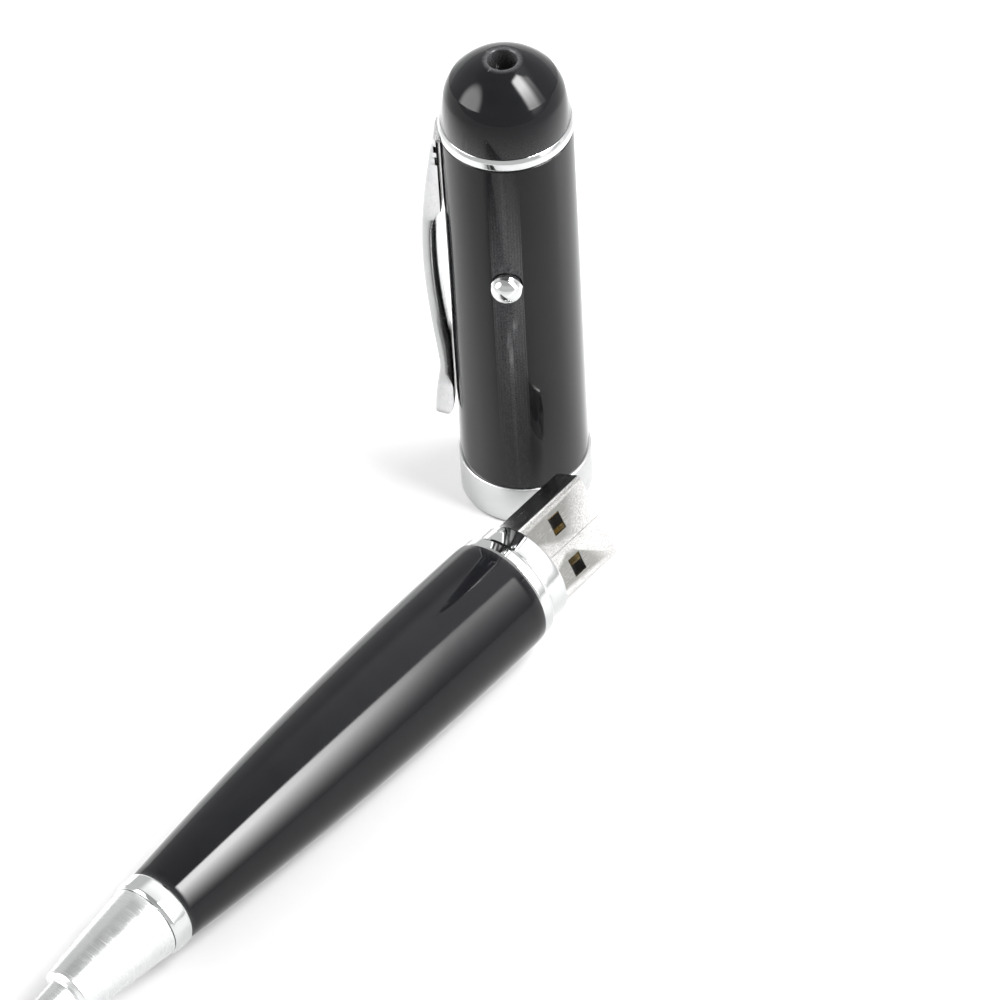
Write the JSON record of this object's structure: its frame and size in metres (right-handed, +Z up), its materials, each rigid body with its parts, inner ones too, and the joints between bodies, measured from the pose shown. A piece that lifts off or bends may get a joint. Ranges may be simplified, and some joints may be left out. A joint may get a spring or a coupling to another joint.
{
  "type": "banknote checking pen",
  "caption": "Banknote checking pen pulled apart: a standing cap with a lamp window, push button and clip, and a lying twist ballpoint barrel that ends in a USB plug.",
  "frame": {"origin": "centre of the cap's open mouth, on the table it stands on", "axes": "+Z up the cap's axis from its mouth to its crown; +Y along the lying barrel towards its plug, which rises one degree"},
  "size_m": [0.0333, 0.1168, 0.0711],
  "materials": {
    "black_lacquer": "deep gloss black lacquer over brass",
    "satin_collar": "satin silver, lightly bevelled edge",
    "polished_chrome": "polished",
    "satin_nose": "polished satin",
    "plug_steel": "tin-plated, smooth",
    "plain_brass": "turned",
    "dark_plastic": "moulded",
    "pale_plastic": "moulded",
    "tongue_plastic": "moulded",
    "circuit_board": "solder mask",
    "chip_body": "moulded epoxy",
    "ceramic_tan": "fired ceramic",
    "gold_contacts": "gold flash",
    "cell_steel": "nickel-plated",
    "tinned_wire": "tinned",
    "lamp_resin": "clear violet-tinted resin",
    "clear_lens": "clear"
  },
  "bodies": {
    "barrel": {"barrel_tube": "black_lacquer", "step_ring": "polished_chrome", "neck": "polished_chrome", "usb_shell": "plug_steel", "usb_tongue": "tongue_plastic", "usb_contacts": "gold_contacts", "usb_board": "circuit_board", "memory_chip": "chip_body", "controller_chip": "chip_body", "crystal": "cell_steel", "board_capacitors": "ceramic_tan", "board_carrier": "pale_plastic", "bulkhead": "dark_plastic"},
    "front": {"nose_ring": "polished_chrome", "guide_tube": "plain_brass"},
    "nose": {"nose_cone": "satin_nose", "nose_bush": "plain_brass", "cam_tube": "plain_brass"},
    "refill": {"cam_follower": "pale_plastic", "refill_tube": "cell_steel", "refill_tip": "plain_brass", "writing_ball": "cell_steel"},
    "cap": {"cap_tube": "black_lacquer", "cap_collar": "satin_collar", "cap_liner": "dark_plastic", "cap_divider": "dark_plastic", "thread_insert": "plain_brass", "tact_switch": "dark_plastic", "light_board": "circuit_board", "board_resistor": "chip_body", "module_carrier": "dark_plastic", "led_holder": "dark_plastic", "uv_led": "lamp_resin", "led_leads": "tinned_wire", "cell_tab": "plain_brass", "cell_sleeve": "pale_plastic", "button_cells": "cell_steel", "contact_spring": "tinned_wire"},
    "crown_seat": {"trim_ring": "polished_chrome"},
    "crown": {"crown": "black_lacquer", "lens": "clear_lens"},
    "button": {"button": "polished_chrome", "switch_plunger": "dark_plastic"},
    "clip": {"clip": "polished_chrome"}
  },
  "joints": [
    {"name": "cap_lift", "type": "slide", "parent": "barrel", "child": "cap", "axis": [0, 0, 1], "range_m": [0, 0.08]},
    {"name": "button_press", "type": "slide", "parent": "cap", "child": "button", "axis": [-0.5736, 0.8192, 0], "range_m": [0, 0.0004], "stiffness_N_per_m": 600, "springref_m": -0.0004},
    {"name": "clip_flex", "type": "hinge", "parent": "cap", "child": "clip", "pos_m": [-0.00664, -0.00465, 0.0594], "axis": [-0.5736, 0.8192, 0], "range_deg": [0, 5], "stiffness_Nm_per_rad": 2.5, "springref_deg": -1.15},
    {"name": "crown_lift", "type": "slide", "parent": "cap", "child": "crown_seat", "axis": [0, 0, 1], "range_m": [0, 0.006]},
    {"name": "crown_turn", "type": "hinge", "parent": "crown_seat", "child": "crown", "pos_m": [0, 0, 0.062], "axis": [0, 0, 1], "range_deg": [0, 2160]},
    {"name": "nose_pull", "type": "slide", "parent": "barrel", "child": "front", "axis": [0, -0.9998, -0.0175], "range_m": [0, 0.07]},
    {"name": "nose_twist", "type": "hinge", "parent": "front", "child": "nose", "pos_m": [0.0153, -0.08929, 0.00667], "axis": [0, -0.9998, -0.0175], "range_deg": [0, 180]},
    {"name": "refill_feed", "type": "slide", "parent": "front", "child": "refill", "axis": [0, -0.9998, -0.0175], "range_m": [0, 0.0055]}
  ],
  "couplings": [
    {"joint": "crown_lift", "follows": "crown_turn", "m_per_rad": 0.00015915},
    {"joint": "refill_feed", "follows": "nose_twist", "m_per_rad": 0.0017507}
  ]
}
